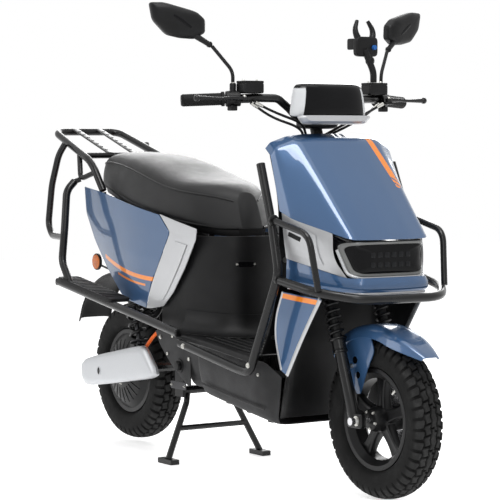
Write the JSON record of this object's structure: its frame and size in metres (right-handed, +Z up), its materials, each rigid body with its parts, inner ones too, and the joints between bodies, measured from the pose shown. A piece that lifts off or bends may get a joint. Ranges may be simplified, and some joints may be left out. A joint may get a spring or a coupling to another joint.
{
  "type": "electric moped scooter",
  "caption": "Step-through electric moped scooter with tubular crash cage, luggage rack, hub motor rear wheel, telescopic fork and centre stand.",
  "frame": {"origin": "on the ground under the middle of the bounding box", "axes": "+X forward towards the front wheel, +Y towards the rider's left, +Z up"},
  "size_m": [1.7391, 0.878, 1.2617],
  "materials": {
    "blue_paint": "metallic gloss",
    "silver_trim": "satin silver",
    "black_plastic": "satin",
    "grey_plastic": "grained",
    "black_tube": "satin black",
    "chassis_paint": "satin black",
    "steel": "bright",
    "grip_rubber": "matte",
    "tyre_rubber": "matte",
    "rim_black": "black satin",
    "seat_vinyl": "grained vinyl",
    "lens_dark": "clear over black",
    "lamp_red": "clear red",
    "cable_orange": "satin",
    "cable_black": "satin",
    "spring_black": "satin black",
    "cover_silver": "satin silver",
    "battery_case": "matte"
  },
  "bodies": {
    "chassis": {"front_shield": "blue_paint", "nose_lower_panel": "blue_paint", "leg_panel_right": "blue_paint", "leg_panel_left": "blue_paint", "rear_side_panel_right": "blue_paint", "rear_side_panel_left": "blue_paint", "nose_cheek_right": "silver_trim", "nose_cheek_left": "silver_trim", "headlight_bezel": "silver_trim", "rear_trim_right": "silver_trim", "rear_trim_left": "silver_trim", "leg_shield": "black_plastic", "splash_panel": "black_plastic", "floor_board": "black_plastic", "seat_front_panel": "black_plastic", "rear_mudguard": "black_plastic", "belly_fairing": "grey_plastic", "rear_rack": "black_tube", "side_guard_right": "black_tube", "side_guard_left": "black_tube", "crash_bar": "black_tube", "main_frame": "chassis_paint", "headlight_lens": "lens_dark", "tail_light": "lamp_red", "battery_pack": "battery_case"},
    "seat": {"seat_cushion": "seat_vinyl"},
    "stand": {"center_stand": "black_tube"},
    "steering": {"steering_stem": "chassis_paint", "handlebar": "black_tube", "instrument_pod": "black_plastic", "control_right": "black_plastic", "control_left": "black_plastic", "grip_left": "grip_rubber", "phone_holder": "black_plastic", "control_cables": "cable_black", "fork_spring_right": "spring_black", "fork_spring_left": "spring_black"},
    "throttle": {"throttle_grip": "grip_rubber"},
    "lever_right": {"brake_lever_right": "black_tube"},
    "lever_left": {"brake_lever_left": "black_tube"},
    "mirror_right": {"mirror_head_right": "black_plastic"},
    "mirror_left": {"mirror_head_left": "black_plastic"},
    "fork_lower": {"fork_leg_right": "black_tube", "fork_leg_left": "black_tube", "front_fender": "blue_paint", "front_axle": "steel"},
    "front_wheel": {"front_rim": "rim_black", "front_tyre": "tyre_rubber", "brake_disc": "steel"},
    "swing": {"swingarm": "black_tube", "hub_cover": "cover_silver", "motor_cable": "cable_orange"},
    "rear_wheel": {"rear_hub_motor": "rim_black", "rear_tyre": "tyre_rubber"},
    "shock_upper": {"shock_body_right": "black_tube", "shock_body_left": "black_tube", "shock_spring_right": "spring_black", "shock_spring_left": "spring_black"},
    "shock_lower": {"shock_rod_right": "steel", "shock_rod_left": "steel"}
  },
  "joints": [
    {"name": "steering_turn", "type": "hinge", "parent": "chassis", "child": "steering", "pos_m": [0.48987, 0, 0.6], "axis": [-0.342, 0, 0.9397], "range_deg": [-38, 38]},
    {"name": "throttle_twist", "type": "hinge", "parent": "steering", "child": "throttle", "pos_m": [0.32232, -0.25927, 1.0142], "axis": [-0.4392, -0.8976, -0.0382], "range_deg": [0, 60], "stiffness_Nm_per_rad": 0.4, "springref_deg": -22.92},
    {"name": "lever_right_pull", "type": "hinge", "parent": "steering", "child": "lever_right", "pos_m": [0.37774, -0.23293, 1.00979], "axis": [0, 0, -1], "range_deg": [0, 11], "stiffness_Nm_per_rad": 1.5, "springref_deg": -11.46},
    {"name": "lever_left_pull", "type": "hinge", "parent": "steering", "child": "lever_left", "pos_m": [0.37774, 0.23293, 1.00979], "axis": [0, 0, 1], "range_deg": [0, 11], "stiffness_Nm_per_rad": 1.5, "springref_deg": -11.46},
    {"name": "mirror_right_tilt", "type": "hinge", "parent": "steering", "child": "mirror_right", "pos_m": [0.303, -0.284, 1.15], "axis": [0, 0, 1], "range_deg": [-15, 15]},
    {"name": "mirror_left_tilt", "type": "hinge", "parent": "steering", "child": "mirror_left", "pos_m": [0.303, 0.284, 1.15], "axis": [0, 0, 1], "range_deg": [-15, 15]},
    {"name": "fork_slide", "type": "slide", "parent": "steering", "child": "fork_lower", "axis": [-0.342, 0, 0.9397], "range_m": [0, 0.06], "stiffness_N_per_m": 12000, "springref_m": -0.05, "deforming": ["fork_spring_right", "fork_spring_left"]},
    {"name": "front_wheel_spin", "type": "hinge", "parent": "fork_lower", "child": "front_wheel", "pos_m": [0.666, 0, 0.204], "axis": [0, 1, 0], "continuous": true},
    {"name": "swingarm_lift", "type": "hinge", "parent": "chassis", "child": "swing", "pos_m": [-0.105, 0, 0.276], "axis": [0, 1, 0], "range_deg": [0, 6], "stiffness_Nm_per_rad": 1500, "springref_deg": -3.44},
    {"name": "rear_wheel_spin", "type": "hinge", "parent": "swing", "child": "rear_wheel", "pos_m": [-0.546, 0, 0.216], "axis": [0, 1, 0], "continuous": true},
    {"name": "shock_lean", "type": "hinge", "parent": "chassis", "child": "shock_upper", "pos_m": [-0.46, 0, 0.54], "axis": [0, 1, 0], "range_deg": [-4, 0.5]},
    {"name": "shock_stroke", "type": "slide", "parent": "shock_upper", "child": "shock_lower", "axis": [-0.28, 0, 0.96], "range_m": [-0.001, 0.03], "deforming": ["shock_spring_right", "shock_spring_left"]},
    {"name": "seat_lift", "type": "hinge", "parent": "chassis", "child": "seat", "pos_m": [0.13, 0, 0.648], "axis": [0, 1, 0], "range_deg": [0, 60]},
    {"name": "stand_fold", "type": "hinge", "parent": "chassis", "child": "stand", "pos_m": [-0.155, 0, 0.2], "axis": [0, 1, 0], "range_deg": [0, 70]}
  ],
  "couplings": [
    {"joint": "shock_lean", "follows": "swingarm_lift", "ratio": -0.525},
    {"joint": "shock_stroke", "follows": "swingarm_lift", "m_per_rad": 0.2578}
  ]
}
